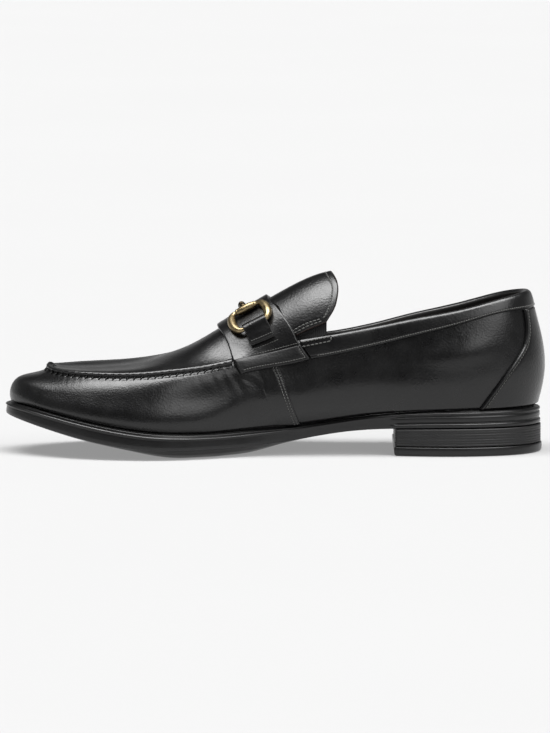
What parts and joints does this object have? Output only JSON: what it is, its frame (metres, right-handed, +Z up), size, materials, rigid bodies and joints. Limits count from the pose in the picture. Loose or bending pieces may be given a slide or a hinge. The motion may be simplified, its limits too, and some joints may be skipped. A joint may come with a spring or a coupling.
{
  "type": "bit loafer",
  "caption": "Right leather loafer with a moc-toe apron, a saddle strap with a metal bit, a raised tongue and a low block heel.",
  "frame": {"origin": "middle of the shoe's box, on the floor under the sole", "axes": "+X toward the heel, the toe toward -X; -Y is the inner side of the foot; +Z up from the floor"},
  "size_m": [0.3052, 0.1023, 0.102],
  "materials": {
    "upper_leather": "smooth polished calf",
    "tongue_leather": "smooth polished calf",
    "strap_leather": "smooth polished calf",
    "collar_leather": "smooth polished calf",
    "counter_leather": "smooth polished calf",
    "tab_leather": "smooth polished calf",
    "elastic": "woven elastic",
    "outsole_rubber": "satin moulded",
    "heel_rubber": "satin moulded",
    "insole_lining": "soft lining leather",
    "bit_brass": "antique"
  },
  "bodies": {
    "root": {"upper": "upper_leather", "tongue": "tongue_leather", "saddle_strap": "strap_leather", "collar_band": "collar_leather", "heel_counter": "counter_leather", "gore_inner": "elastic", "gore_outer": "elastic", "tab_inner": "tab_leather", "tab_outer": "tab_leather", "ring_inner": "bit_brass", "ring_outer": "bit_brass", "bit_link": "bit_brass", "outsole": "outsole_rubber", "heel_stack": "heel_rubber", "top_lift": "heel_rubber", "insole": "insole_lining"}
  },
  "joints": []
}
